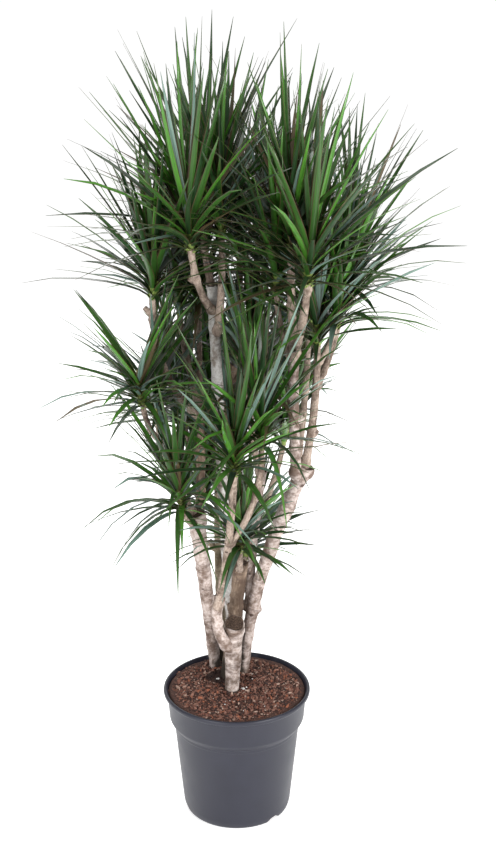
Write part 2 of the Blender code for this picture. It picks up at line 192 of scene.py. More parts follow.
# Its plastic: a dull satin blue-grey, with faint flow marks 40 mm across and a very fine grain
pot_plastic, tree, shader = new_material("moulded_polypropylene", IOR=1.49, Specular_IOR_Level=0.4)
flow = add_noise(tree, scale=(24, 24, 24), detail=3.0)
grain = add_noise(tree, scale=(900, 900, 900), detail=2.0)
connect(shader,
        Base_Color=colour_ramp(tree, flow, (0.3, "#191A26"), (0.7, "#1F202C")),
        Roughness=map_range(tree, flow, 0.3, 0.7, 0.40, 0.48),
        Normal=add_bump(tree, grain, strength=0.12, distance=0.0004))

nursery_pot = new_piece("nursery_pot", spun(POT_PROFILE, POT_STEPS), [pot_plastic], "pot_plastic", "pot")
below = Matrix.Translation((0, 0, NOTCH_MIDDLE))
cutters = []
for angle in NOTCH_ANGLES:
    turn = Matrix.Rotation(math.radians(angle), 4, "Z") @ Matrix.Rotation(math.pi / 2, 4, "Y")
    outward = Matrix.Translation((0, 0, NOTCH_START + NOTCH_LENGTH / 2))
    bm = bmesh.new()
    bmesh.ops.create_cone(bm, cap_ends=True, segments=NOTCH_STEPS, radius1=NOTCH_RADIUS, radius2=NOTCH_RADIUS,
                          depth=NOTCH_LENGTH, matrix=below @ turn @ outward)
    cutters.append(new_object("notch", new_mesh("notch", bm)))
    boolean = nursery_pot.modifiers.new("notch", "BOOLEAN")
    boolean.object = cutters[-1]
    boolean.operation = "DIFFERENCE"
moulded = bpy.data.meshes.new_from_object(nursery_pot.evaluated_get(bpy.context.evaluated_depsgraph_get()))
nursery_pot.modifiers.clear()
nursery_pot.data = moulded
for cutter in cutters:
    bpy.data.objects.remove(cutter)
moulded.shade_smooth()
moulded.set_sharp_from_angle(angle=math.radians(SHARP_ANGLE))

# The canes: six thick stems of one plant, cut back years ago and rooted in the soil. Each is an arc in a
# vertical plane, with the pale, ringed and blotched bark of old wood, knots, and a sawn top.
SOIL_TOP = 0.250
CANE_SIDES = 22
RING_STEP = 0.0035  # distance between the rings of vertices along a limb
SEED_STEP = 0.37  # between one limb's pattern and the next one's
SINK = 0.004  # how far a cane goes on under the soil
INSIDE = 1.2  # how far inside its parent a limb's bark starts, in radii
EXIT_STEPS = 60  # tries for the point where a limb leaves its parent
AXIS_STEPS = 40  # points on a limb's axis, for distances from it
# The relief of the bark, in waves a metre. What is marked "radii" is a share of the limb's own radius
SWELLINGS = ((34, 0.12), (90, 0.07))  # waves and height in radii
RING_WAVES, RING_HEIGHT = 110, 0.0005
WRINKLE_WAVES, WRINKLE_HEIGHT = 330, 0.0003
COLLAR_HEIGHT, COLLAR_REACH = 0.45, 1.1  # radii, where a limb leaves its parent
FORK_HEIGHT, FORK_REACH = 0.16, 1.6  # radii, at an end from which others grow
DIMPLE_DEPTH, DIMPLE_NARROWNESS = 0.45, 2.6  # of the scar in a knot, in its height and size
SCAR_SIZE, KNOT_REACH = 0.7, 3  # of the coloured scar and of the whole knot, in the knot's size
# How a limb ends, as (radii past its tip, narrowing): sawn, with a lip of bark round a slightly sunk face,
# or drawn in, where a leafy stem goes on
SAWN_END = ((0.10, 0.96), (0.15, 0.87), (0.06, 0.78), (-0.13, 0.71), (-0.09, 0.40))
DRAWN_END = ((0.12, 0.90), (0.20, 0.70), (0.22, 0.40))
RAGGED = 0.35  # unevenness of a sawn end, in radii
SLANT_REACH = 2.2  # length of the end that leans with an oblique cut, in radii
PATTERN_RADIUS = 0.011  # the bark's pattern lies on a limb of this radius
Knot = namedtuple("Knot", "along angle size height scarred")
Cane = namedtuple("Cane", "name foot heading lean length curl foot_radius tip_radius")
CANES = (
    Cane("cane_left", (-0.043, 0.088), -122, 10, 0.349, -2, 0.0113, 0.0152),
    Cane("cane_front", (-0.009, -0.01), -21, 2, 0.14, 0, 0.0135, 0.017),
    Cane("cane_right", (0.0105, 0.064), -25, 16, 0.467, -20, 0.0118, 0.0125),
    Cane("cane_middle", (-0.018, 0.046), -15, 6, 0.243, 4, 0.014, 0.013),
    Cane("cane_tall", (-0.005, 0.104), -116, 6, 0.782, 3, 0.012, 0.0095),
    Cane("cane_slim", (-0.0285, 0.1115), -139, 1, 0.383, 4, 0.0095, 0.009),
)


def level_way(angle):
    """A level direction, by its angle from +X."""
    return Vector((math.cos(angle), math.sin(angle), 0.0))


class Arc:
    """A limb's centre line: a circular arc in the vertical plane of its heading."""

    def __init__(self, start, heading, lean, length, curl):
        self.start = Vector(start)
        self.heading = math.radians(heading)
        self.first_lean = math.radians(lean + curl / 2)
        self.curl = math.radians(curl)
        self.length = length

    def lean(self, share):
        return self.first_lean - self.curl * share

    def direction(self, share):
        lean = self.lean(share)
        return Vector((math.sin(lean) * math.cos(self.heading), math.sin(lean) * math.sin(self.heading),
                       math.cos(lean)))

    def point(self, share):
        if abs(self.curl) < 1e-6:
            return self.start + self.direction(0) * self.length * share
        radius = self.length / self.curl
        reach = radius * (math.cos(self.lean(share)) - math.cos(self.first_lean))
        rise = radius * (math.sin(self.first_lean) - math.sin(self.lean(share)))
        return self.start + level_way(self.heading) * reach + Vector((0.0, 0.0, rise))

    def frame(self, share):
        ahead = self.direction(share)
        side = Vector((-math.sin(self.heading), math.cos(self.heading), 0.0))
        turn = Matrix((side.cross(ahead), side, ahead)).transposed().to_4x4()
        return Matrix.Translation(self.point(share)) @ turn


class Limb:
    """A cane, bough, shoot or stub, with what its bark needs: where it leaves its parent, and its knots."""

    def __init__(self, arc, foot_radius, tip_radius, sides, parent=None):
        self.arc = arc
        self.foot_radius = foot_radius
        self.tip_radius = tip_radius
        self.sides = sides
        self.parent = parent
        self.forks = []
        self.knots = []
        self.sawn = True
        self.slant = 0.0
        self.damp = None
        self.exit = 0.0
        if parent:
            inside = [k for k in range(EXIT_STEPS + 1) if parent.distance(arc.point(k / EXIT_STEPS)) < 0]
            self.exit = max(inside, default=0) / EXIT_STEPS * arc.length
            parent.forks.append(self)

    def radius(self, share):
        return self.foot_radius + (self.tip_radius - self.foot_radius) * share

    def bark_start(self):
        """How far along the limb its bark starts: under the soil, or inside the parent."""
        return max(0.0, self.exit - self.foot_radius * INSIDE) if self.parent else -SINK

    def distance(self, point):
        """How far a point is from the bark; negative inside."""
        steps = [k / AXIS_STEPS for k in range(AXIS_STEPS + 1)]
        return min((self.arc.point(s) - point).length - self.radius(s) for s in steps)

    def add_knot(self, share, heading, size, height, scarred):
        """A knot on the side that faces a heading, in degrees."""
        turned = self.arc.frame(share).to_3x3().inverted() @ level_way(math.radians(heading))
        angle = math.atan2(turned.y, turned.x)
        self.knots.append(Knot(share * self.arc.length, angle, size, height, scarred))

    def knot_distance(self, knot, along, angle):
        """Distance over the bark from the middle of a knot, in units of its size."""
        off = (angle - knot.angle + math.pi) % (2 * math.pi) - math.pi
        return math.hypot(along - knot.along, off * self.radius(knot.along / self.arc.length)) / knot.size

    def damp_and_shade_at(self, along, angle):
        """How moist and how darkened by painted shade the bark is near the soil: all round, or only on the
        side of a heading in degrees.
        """
        if not self.damp:
            return 0.0
        reach, heading = self.damp
        side = 1.0
        if heading is not None:
            side = 0.5 + 0.5 * math.cos(angle + self.arc.heading - math.radians(heading))
        return side * math.exp(-(max(0.0, along) / reach) ** 2)


def bark_relief(limb, along, angle, seed):
    """How far the bark stands out of the plain taper: swellings, knots, wrinkles and leaf-scar rings."""
    around = level_way(angle)
    radius = limb.radius(along / limb.arc.length)
    place = around * radius + Vector((seed, -seed, along))
    out = radius * sum(noise.noise(place * waves) * height for waves, height in SWELLINGS)
    ring = abs(noise.noise(Vector((around.x * 0.3, around.y * 0.3, along * RING_WAVES + seed))))
    out += RING_HEIGHT * (0.3 - ring) + noise.noise(place * WRINKLE_WAVES) * WRINKLE_HEIGHT
    if limb.parent:
        out += radius * COLLAR_HEIGHT * math.exp(-((along - limb.exit) / (COLLAR_REACH * radius)) ** 2)
    for knot in limb.knots:
        near = limb.knot_distance(knot, along, angle)
        if near < KNOT_REACH:
            dimple = DIMPLE_DEPTH * math.exp(-(near * DIMPLE_NARROWNESS) ** 2) if knot.scarred else 0.0
            out += knot.height * (math.exp(-near ** 2) - dimple)
    if limb.forks:
        out += radius * FORK_HEIGHT * math.exp(-((limb.arc.length - along) / (FORK_REACH * radius)) ** 2)
    return out


def add_ring(bm, matrix, sides):
    """A circle of edges, and its vertices in order."""
    ring = bmesh.ops.create_circle(bm, cap_ends=False, radius=1.0, segments=sides, matrix=matrix)
    return list({edge for vert in ring["verts"] for edge in vert.link_edges}), ring["verts"]


def grow_bark(bm, limb, seed, first, bark_slot=0, cut_slot=1):
    """Skins a limb from a distance along it to its end.

    Each point keeps its place on the limb, for the bark's pattern, how scarred it is, and how far it is
    darkened near the soil, for moisture and painted shade.
    """
    if not bm.verts.layers.float_vector.get("on_limb"):
        bm.verts.layers.float_vector.new("on_limb")
        bm.verts.layers.float.new("scarred")
        bm.verts.layers.float.new("damp")
    tip = limb.arc.length
    count = max(4, round((tip - first) / RING_STEP))
    rings = [(first + (tip - first) * k / count, 1.0) for k in range(count + 1)]
    end = SAWN_END if limb.sawn else DRAWN_END
    rings += [(tip + limb.tip_radius * past, narrow) for past, narrow in end]
    body = bmesh.new()
    on_limb = body.verts.layers.float_vector.new("on_limb")
    scarred = body.verts.layers.float.new("scarred")
    damp = body.verts.layers.float.new("damp")
    loops = []
    for level, narrow in rings:
        loop, verts = add_ring(body, Matrix.Identity(4), limb.sides)
        for vert in verts:
            angle = math.atan2(vert.co.y, vert.co.x)
            around = level_way(angle)
            along = level
            if limb.sawn and level > tip:
                along += limb.tip_radius * RAGGED * noise.noise(around * 1.4 + Vector((seed, level * 90, 0)))
            radius = limb.radius(min(along / tip, 1.0)) + bark_relief(limb, min(along, tip), angle, seed)
            spot = limb.arc.frame(along / tip) @ (around * (radius * narrow))
            # An oblique sawn face leans towards the front
            reach = max(0.0, 1.0 - (tip - along) / (SLANT_REACH * limb.tip_radius))
            spot += limb.arc.direction(1.0) * limb.slant * (spot.y - limb.arc.point(1.0).y) * min(1.0, reach)
            vert[on_limb] = around * PATTERN_RADIUS + Vector((seed, seed * 0.7, along))
            vert[scarred] = max((math.exp(-(limb.knot_distance(knot, along, angle) / SCAR_SIZE) ** 2)
                                 for knot in limb.knots if knot.scarred), default=0.0)
            vert[damp] = limb.damp_and_shade_at(along, angle)
            vert.co = spot
        loops.append(loop)
    for number, (lower, upper) in enumerate(zip(loops[:-1], loops[1:])):
        for face in bmesh.ops.bridge_loops(body, edges=lower + upper)["faces"]:
            face.material_index = cut_slot if limb.sawn and number > count + 1 else bark_slot
    bmesh.ops.contextual_create(body, geom=loops[0])
    cap = bmesh.ops.contextual_create(body, geom=loops[-1])["faces"][0]
    cap.material_index = cut_slot if limb.sawn else bark_slot
    bmesh.ops.recalc_face_normals(body, faces=body.faces)
    joined = new_mesh("limb", body)
    bm.from_mesh(joined)
    bpy.data.meshes.remove(joined)


def attribute(tree, name, output="Fac"):
    return add_node(tree, "ShaderNodeAttribute", attribute_name=name).outputs[output]


def combined(tree, first, second, operation="ADD"):
    return add_node(tree, "ShaderNodeMath", [(0, first), (1, second)], operation=operation).outputs[0]


def overlaid(tree, share, ground, hex_colour):
    """A colour laid over a ground: a Mix node takes colours in sockets 6 and 7 and gives one in output 2."""
    return add_node(tree, "ShaderNodeMix", [(0, share), (6, ground), (7, linear(hex_colour))],
                    data_type="RGBA").outputs[2]


def make_bark(name, pale, middle, brown, blotches, streak=0.0):
    """Old bark: matt and corky, with brown blotches, fine mottling and thin rings of leaf scars.

    blotches is how much of it is brown, and streak stretches them along the limb.
    """
    material, tree, shader = new_material(name, Roughness=0.82, Specular_IOR_Level=0.3)
    place = attribute(tree, "on_limb", "Vector")
    # Stretches of 70 mm that are cleaner or browner, blotches 20 mm wide, mottling of 5 mm, and leaf scars
    # about 8 mm apart that run round the limb
    scales = ((14, 14, 14), (55, 55, 46 - 34 * streak), (200, 200, 170 - 110 * streak), (30, 30, 125))
    stretch, blotch, mottle, scar = (add_noise(tree, scale, 6.0, 0.62, place) for scale in scales)
    ground = colour_ramp(tree, mottle, (0.34, middle), (0.60, pale))
    edge = 1.07 - 0.22 * blotches
    patch = map_range(tree, combined(tree, stretch, blotch), edge, edge + 0.2, 0.0, 0.85)
    blotched = overlaid(tree, patch, ground, brown)
    ringed = map_range(tree, scar, 0.45, 0.34, 0.0, 0.55)
    ragged = combined(tree, attribute(tree, "scarred"), mottle)
    marks = combined(tree, ringed, map_range(tree, ragged, 0.95, 1.25, 0.0, 0.95), "MAXIMUM")
    scarred = overlaid(tree, marks, blotched, "#40302A")
    # Near the soil the bark is darkened up to a ragged edge: it is moist and a little moss-grown there, and
    # the near-black is also painted shade between the canes' feet
    wet_and_shaded = combined(tree, attribute(tree, "damp"), blotch)
    mossy_and_shaded = overlaid(tree, map_range(tree, wet_and_shaded, 0.95, 1.2, 0.0, 0.92), scarred, "#26211A")
    connect(shader, Base_Color=mossy_and_shaded,
            Normal=add_bump(tree, combined(tree, mottle, scar), strength=0.5, distance=0.001))
    return material


# The barks of old wood, from bleached and rough to brown and to green-tinged
pale_bark = make_bark("bleached_bark", "#BDB0AA", "#8B7A71", "#554134", 0.66)
grey_bark = make_bark("grey_white_bark", "#C9C7C4", "#A9A49F", "#6E6156", 0.42)
stump_bark = make_bark("rough_stump_bark", "#C2B6B0", "#85746A", "#4C3A2E", 0.95)
brown_bark = make_bark("brown_streaked_bark", "#8F7D6D", "#655242", "#3D2D22", 0.8, streak=1.0)
green_bark = make_bark("green_tinged_bark", "#AB9F8B", "#83765F", "#5B4E3C", 0.5, streak=0.6)
# The sawn faces: dark, weathered end grain, rough and without any sheen
sawn_wood, tree, shader = new_material("weathered_sawn_wood", Roughness=0.9)
fibres = add_noise(tree, scale=(420, 420, 420), detail=5.0)
connect(shader,
        Base_Color=colour_ramp(tree, fibres, (0.36, "#271B15"), (0.68, "#5E4A3C")),
        Normal=add_bump(tree, fibres, strength=0.7, distance=0.0015))

limbs = {}
for cane in CANES:
    arc = Arc((*cane.foot, SOIL_TOP + GAP), cane.heading, cane.lean, cane.length, cane.curl)
    limbs[cane.name] = Limb(arc, cane.foot_radius, cane.tip_radius, CANE_SIDES)

# The boughs: thinner limbs that sprouted under the sawn tops. Each starts inside the limb that carries it
# and has a swollen collar there; some were cut back in their turn, and the rest end in a leaf head.
BOUGH_SIDES = 16
Bough = namedtuple("Bough", "name limb at heading lean length curl foot_radius tip_radius")
BOUGHS = [Bough("bough_" + name, *rest) for name, *rest in (
    ("left_low", "cane_left", 0.965, 175, 19, 0.214, 34, 0.0085, 0.006),
    ("left_dark", "cane_left", 0.9, 79, 6, 0.241, 30, 0.009, 0.0075),
    ("left_hooked", "bough_left_dark", 0.88, -142, 22, 0.275, 52, 0.007, 0.0055),
    ("left_rear", "bough_left_dark", 0.97, 121, 24, 0.182, 26, 0.0065, 0.0055),
    ("left_thin", "bough_left_dark", 0.8, 93, 12, 0.231, 34, 0.0055, 0.0048),
    ("front_cut", "cane_front", 0.62, -143, 15, 0.13, 70, 0.0105, 0.01),
    ("front", "bough_front_cut", 0.8, -70, 18, 0.323, 20, 0.0075, 0.006),
    ("front_right", "bough_front", 0.52, -5, 17, 0.205, 40, 0.006, 0.0052),
    ("slim", "cane_right", 0.13, 2, 5, 0.359, -5, 0.0085, 0.007),
    ("slim_top", "bough_slim", 0.96, -129, 10, 0.208, 26, 0.0065, 0.0055),
    ("slim_rear", "bough_slim", 0.72, 62, 43, 0.169, 36, 0.006, 0.0052),
    ("right_inner", "cane_right", 0.92, -108, 7, 0.283, 22, 0.01, 0.0095),
    ("right_mid", "bough_right_inner", 0.97, -106, 9, 0.185, 14, 0.0075, 0.006),
    ("right_fore", "bough_right_inner", 0.9, -74, 27, 0.166, 26, 0.008, 0.006),
    ("right_outer", "cane_right", 0.975, -47, 7, 0.248, 18, 0.008, 0.006),
    ("right_far", "bough_right_outer", 0.68, 59, 33, 0.185, 40, 0.0065, 0.0055),
    ("right_rear", "cane_right", 0.88, 77, 25, 0.319, 36, 0.007, 0.0055),
    ("tall_left", "cane_tall", 0.94, -111, 37, 0.169, 46, 0.007, 0.0055),
    ("tall_right", "cane_tall", 0.865, -67, 9, 0.207, 30, 0.0075, 0.0055),
    ("tall_mid", "cane_tall", 0.985, 114, 24, 0.106, 24, 0.007, 0.0055),
    ("back", "cane_tall", 0.6, 69, 17, 0.346, 26, 0.0085, 0.006),
    ("slim_right", "cane_slim", 0.86, 74, 46, 0.168, 40, 0.0065, 0.0055),
)]
# Those that were cut back and carry others
CUT_BOUGHS = ("bough_left_dark", "bough_front_cut", "bough_slim", "bough_right_inner")
STUMP_SLANT = 0.42  # slope of the stump's oblique cut


def sprout(row, curl, foot_radius, tip_radius, sides):
    """A limb that grows out of another, as its row says."""
    carrier = limbs[row.limb]
    arc = Arc(carrier.arc.point(row.at), row.heading, row.lean, row.length, curl)
    return Limb(arc, foot_radius, tip_radius, sides, carrier)


for bough in BOUGHS:
    limbs[bough.name] = sprout(bough, bough.curl, bough.foot_radius, bough.tip_radius, BOUGH_SIDES)
    limbs[bough.name].sawn = bough.name in CUT_BOUGHS
limbs["cane_front"].slant = STUMP_SLANT

# How far up from the soil a cane's foot is darkened, for moisture and painted shade between the canes, and on
# which side: a heading in degrees, or None all round
DAMP_AND_SHADED_FEET = {"cane_middle": (0.075, None), "cane_right": (0.12, 205), "cane_left": (0.03, -20),
             "cane_front": (0.006, None), "cane_tall": (0.05, None), "cane_slim": (0.05, None)}
for name, damp in DAMP_AND_SHADED_FEET.items():
    limbs[name].damp = damp

# The knots that stand out: (limb, share along it, heading of its side, size, height, whether a scar shows)
KNOTS = (
    ("cane_right", 0.29, -95, 0.0065, 0.005, True), ("cane_right", 0.31, -20, 0.008, 0.006, False),
    ("cane_right", 0.975, 0, 0.013, 0.006, False), ("cane_right", 0.93, -60, 0.008, 0.004, True),
    ("cane_right", 0.60, 0, 0.030, 0.003, False), ("cane_right", 0.80, 0, 0.032, 0.004, False),
    ("cane_left", 0.54, -110, 0.005, 0.002, True), ("cane_left", 0.97, 180, 0.010, 0.006, False),
    ("cane_left", 0.36, -70, 0.004, 0.002, True), ("cane_left", 0.74, -60, 0.006, 0.003, False),
    ("cane_front", 0.45, -60, 0.009, 0.003, False), ("cane_front", 0.75, -100, 0.008, 0.003, False),
    ("cane_tall", 0.39, -90, 0.006, 0.004, True), ("cane_tall", 0.97, -60, 0.010, 0.005, False),
    ("cane_slim", 0.75, -70, 0.006, 0.004, True), ("bough_slim", 0.43, -100, 0.006, 0.004, True),
    ("bough_tall_left", 0.64, -90, 0.008, 0.005, False), ("bough_tall_left", 0.70, 150, 0.007, 0.004, True),
    ("bough_right_mid", 0.42, 190, 0.007, 0.004, False), ("bough_right_fore", 0.94, 0, 0.006, 0.003, False),
    ("bough_right_outer", 0.35, -20, 0.007, 0.004, True),
    ("bough_right_inner", 0.66, 190, 0.008, 0.004, True),
    ("bough_right_rear", 0.60, 0, 0.006, 0.003, True), ("bough_left_dark", 0.50, -90, 0.007, 0.004, False),
    ("bough_left_hooked", 0.85, 160, 0.007, 0.004, False), ("bough_left_low", 0.35, -80, 0.006, 0.003, True),
)
for name, *knot in KNOTS:
    limbs[name].add_knot(*knot)
# Smaller ones, where old side buds died
BUD_SPACING = 0.045
BUD_PLACES = (0.08, 0.95)  # shares of the limb
BUD_SIZES = (0.0035, 0.0065)
BUD_HEIGHTS = (0.0014, 0.0034)
chance = random.Random(3)
for limb in limbs.values():
    for _ in range(round(limb.arc.length / BUD_SPACING)):
        limb.add_knot(chance.uniform(*BUD_PLACES), chance.uniform(-180, 180), chance.uniform(*BUD_SIZES),
                      chance.uniform(*BUD_HEIGHTS), chance.random() < 0.5)

# Short dead stubs of shoots that were cut or died back
STUB_SIDES = 12
STUB_CURL = 12
Stub = namedtuple("Stub", "limb at heading lean length foot_radius tip_radius")
STUBS = (
    Stub("cane_right", 0.09, 182, 13, 0.102, 0.0068, 0.006),
    Stub("cane_slim", 0.62, 185, 42, 0.028, 0.0065, 0.006),
    Stub("cane_left", 0.955, 200, 62, 0.026, 0.0065, 0.006),
    Stub("cane_tall", 0.385, -85, 55, 0.018, 0.006, 0.0055),
    Stub("bough_slim", 0.49, 215, 125, 0.026, 0.0055, 0.0042),
    Stub("bough_left_hooked", 0.88, 178, 48, 0.020, 0.005, 0.0045),
    Stub("bough_tall_left", 0.62, 185, 70, 0.015, 0.0055, 0.005),
    Stub("bough_right_inner", 0.45, 10, 50, 0.02, 0.006, 0.0055),
    Stub("bough_right_outer", 0.30, 30, 60, 0.017, 0.005, 0.0045),
    Stub("cane_middle", 0.55, 120, 55, 0.026, 0.0065, 0.006),
    Stub("bough_back", 0.35, 10, 50, 0.022, 0.0055, 0.005),
    Stub("bough_left_dark", 0.62, 200, 60, 0.017, 0.005, 0.0045),
)
stubs = {name: [] for name in limbs}
for stub in STUBS:
    stubs[stub.limb].append(sprout(stub, STUB_CURL, stub.foot_radius, stub.tip_radius, STUB_SIDES))

OLD_RADIUS = 0.0062  # a bough with a thicker tip than this has the bark of old wood
young_bark = make_bark("young_ringed_bark", "#A6968A", "#7F6E61", "#524338", 0.55)
# The boughs left_dark, back and slim_right take the brown bark partly as painted shade, for they stand in
# shade inside the crown
SPECIAL_BARKS = {
    "cane_middle": brown_bark, "cane_tall": grey_bark, "cane_front": stump_bark, "cane_slim": green_bark,
    "bough_left_dark": brown_bark, "bough_back": brown_bark, "bough_slim_right": brown_bark,
}
for number, (name, limb) in enumerate(limbs.items(), 1):
    bm = bmesh.new()
    grow_bark(bm, limb, SEED_STEP * number, limb.bark_start())
    for stub in stubs[name]:
        grow_bark(bm, stub, SEED_STEP * number + 5, stub.bark_start())
    usual = pale_bark if limb.parent is None or limb.tip_radius > OLD_RADIUS else young_bark
    materials = [SPECIAL_BARKS.get(name, usual), sawn_wood]
    new_piece(name + "_bark", bm, materials, "bark", name).data.shade_smooth()

# The leaf heads' stems: 70 mm of green, leafy stem on a bough's end, or on a shoot from a limb's side.
# They are thin, and mostly hidden by the leaf bases that clasp them.
STEM_SIDES = 10
STEM_LENGTH = 0.07
STEM_FOOT_RADIUS = 0.0052
STEM_TIP_RADIUS = 0.0036
SHOOT_RADIUS = 0.0055
STEM_SEED_STEP = 0.31
# One head on the bough of the same name, or from the side of any limb. The blade is a leaf's length, and the
# seed gives the head its own scatter
TipHead = namedtuple("TipHead", "name blade sag seed")
TIP_HEADS = [TipHead(*row) for row in (
    ("left_low", 0.25, 0.6, 152), ("left_hooked", 0.285, 0.45, 243),
    ("left_rear", 0.28, 0.6, 362), ("left_thin", 0.27, 0.5, 423),
    ("front", 0.245, 0.55, 568), ("front_right", 0.27, 0.85, 644),
    ("slim_top", 0.245, 0.45, 751), ("slim_rear", 0.27, 0.7, 834),
    ("right_mid", 0.3, 0.3, 902), ("right_fore", 0.31, 0.45, 1009),
    ("right_outer", 0.22, 0.5, 1113), ("right_far", 0.29, 0.55, 1206),
    ("right_rear", 0.26, 0.55, 1307), ("tall_left", 0.315, 0.5, 1424),
    ("tall_right", 0.27, 0.3, 1540), ("tall_mid", 0.33, 0.3, 1648),
    ("back", 0.29, 0.4, 1724), ("slim_right", 0.26, 0.8, 1817),
)]
SideHead = namedtuple("SideHead", "name limb at heading lean length curl blade sag seed")
SIDE_HEADS = [SideHead(*row) for row in (
    ("left_drooping", "cane_left", 0.945, -108, 54, 0.093, 44, 0.25, 1.5, 1964),
    ("left_inner", "cane_left", 0.88, 85, 57, 0.075, 40, 0.235, 0.9, 2025),
    ("left_fore", "bough_left_low", 0.78, -106, 43, 0.14, 44, 0.235, 0.75, 2101),
    ("left_middle", "bough_left_dark", 0.55, 116, 61, 0.09, 40, 0.245, 0.6, 2214),
    ("low_fore", "cane_middle", 0.95, -89, 48, 0.116, 40, 0.18, 1.0, 2346),
    ("low_right", "cane_middle", 0.84, 78, 70, 0.072, 40, 0.21, 0.9, 2439),
    ("right_hanging", "bough_right_inner", 0.84, 165, 13, 0.138, 24, 0.27, 0.5, 2533),
    ("right_edge", "bough_right_outer", 0.86, 43, 36, 0.077, 40, 0.25, 0.6, 2652),
    ("right_low", "bough_right_rear", 0.35, 96, 78, 0.131, 30, 0.205, 0.7, 2746),
    ("back_far", "bough_back", 0.8, 61, 47, 0.124, 34, 0.27, 0.6, 2814),
    ("slim_left", "cane_slim", 0.95, 100, 37, 0.142, 36, 0.27, 0.8, 2935),
)]
Head = namedtuple("Head", "name stem blade sag seed")


def leafy_stem(foot_limb):
    """The stem of a head goes on from the end of its bough or shoot, and straightens up."""
    end_lean = math.degrees(foot_limb.arc.lean(1.0))
    heading = math.degrees(foot_limb.arc.heading)
    axis = Arc(foot_limb.arc.point(1.0), heading, end_lean * 0.75, STEM_LENGTH, end_lean * 0.5)
    stem = Limb(axis, STEM_FOOT_RADIUS, STEM_TIP_RADIUS, STEM_SIDES)
    stem.sawn = foot_limb.sawn = False
    return stem


feet = [limbs["bough_" + tip.name] for tip in TIP_HEADS]
shoots = [sprout(side, side.curl, SHOOT_RADIUS, STEM_FOOT_RADIUS, STEM_SIDES) for side in SIDE_HEADS]
heads = [Head("leaves_" + row.name, leafy_stem(foot), row.blade, row.sag, row.seed)
         for row, foot in zip(TIP_HEADS + SIDE_HEADS, feet + shoots)]

green_stem = make_bark("green_leafy_stem", "#9C9A6A", "#75704C", "#5A4B36", 0.4)
STEM_BARKS = [young_bark, green_stem]
YOUNG, GREEN = 0, 1  # their slots
bm = bmesh.new()
for number, (head, foot) in enumerate(zip(heads, feet + shoots)):
    grow_bark(bm, head.stem, 20 + STEM_SEED_STEP * number, 0.0, GREEN, GREEN)
    if foot in shoots:
        grow_bark(bm, foot, 40 + STEM_SEED_STEP * number, foot.bark_start(), YOUNG, YOUNG)
new_piece("leafy_stems", bm, STEM_BARKS, "bark", *[head.name for head in heads]).data.shade_smooth()

# The leaves: narrow sword-shaped blades, set in a close spiral round each stem. The youngest stand straight
# up in the middle and the oldest arch over. They are thin and waxy, folded along the middle, with a
# red-brown edge and a pale base that clasps the stem.
LEAVES_PER_HEAD = (50, 66)
LEAFY_FROM, LEAFY_TO = 0.04, 0.98  # shares of the stem
GOLDEN_ANGLE = 137.508
AZIMUTH_SCATTER = 14
SIDE_TURNS = (0, 17, -17, 34, -34)  # tried in this order, until a leaf is clear
OLDEST_SPREAD, YOUNGEST_SPREAD = 95, 8  # in degrees from the stem
SPREAD_SCATTER = 8
LEAST_SPREAD = 3
LOWEST_AIM = 0.05  # no blade sets out lower than this slope, as all turn to the light
OLDEST_LENGTH, LENGTH_GAIN = 0.74, 0.30  # in blade lengths, from the oldest leaf to the youngest
UNGROWN = 0.16  # share of its length that the youngest leaf still lacks
LENGTH_SCATTER = (0.76, 1.12)
YOUNGEST_SAG, SAG_GAIN = 0.12, 0.88  # in the head's sags, from the youngest leaf to the oldest
SAG_SCATTER = (0.5, 1.6)
MOST_SAG = 1.3
SAG_POWER = 1.5  # a blade sinks most near its tip
BEND_SCATTER = 0.06
TWIST_SCATTER = 45
UNTWISTED = 0.15  # the share of a blade at which its twist is nil
BLADE_WIDTH = 0.0116
WIDTH_SCATTER = (0.82, 1.1)
BASE_WIDTH, WIDENING = 0.7, 1.6  # width at the base in blade widths, and how fast a blade widens from it
TAPER_POWER = 2.1
TIP_HALF_WIDTH = 0.0003
BASE_FOLD, FOLD_LOSS = 0.42, 0.25  # slope of each half of a blade, and how much of it the tip lacks
BLADE_THICKNESS = 0.0007
BLADE_RINGS = (0.0, 0.035, 0.09, 0.18, 0.33, 0.52, 0.75, 1.0)  # share of the length at each ring
BLADE_SIDES = 8
OUTER_FACES = 0.83  # faces of the round pattern beyond this are the red-brown edge
EDGE_SHARE = 0.86  # where across the half blade that edge begins
PALE_BASE = 0.06  # share of the blade that is pale
CLASP = 0.013  # how far down the stem the base of a spread blade clasps it
CLASP_SHARE = 0.05
UP = Vector((0.0, 0.0, 1.0))


def make_leaf(name, colour, deep, roughness=0.34):
    """A waxy leaf surface: a soft sheen over lengthwise streaks of green, 1.5 mm wide."""
    material, tree, shader = new_material(name, Roughness=roughness, IOR=1.45)
    streaks = add_noise(tree, (650, 9, 1), 2.0, place=attribute(tree, "on_leaf", "Vector"))
    connect(shader,
            Base_Color=colour_ramp(tree, streaks, (0.36, deep), (0.62, colour)),
            Normal=add_bump(tree, streaks, strength=0.25, distance=0.0003))
    return material


LEAF_TONES = [
    make_leaf("deep_green_leaf", "#233F1E", "#172D15", 0.3),
    make_leaf("green_leaf", "#30551D", "#234117"),
    make_leaf("fresh_green_leaf", "#437625", "#335F1C"),
    # A grey-green tone that stands in for the bluish sheen of the glossy blades: painted reflection
    make_leaf("bloomed_grey_green_leaf", "#677F74", "#455B50", 0.36),
    make_leaf("old_reddened_leaf", "#4E4229", "#352F1E", 0.5),
]
leaf_edge = make_leaf("red_brown_leaf_edge", "#553A2A", "#40291F")
leaf_base = make_leaf("pale_leaf_base", "#84954F", "#647B3B", 0.5)
EDGE, BASE = len(LEAF_TONES), len(LEAF_TONES) + 1
UPPER, UNDER = 0, 1  # slots of the pattern's two sides, until their tones are dealt
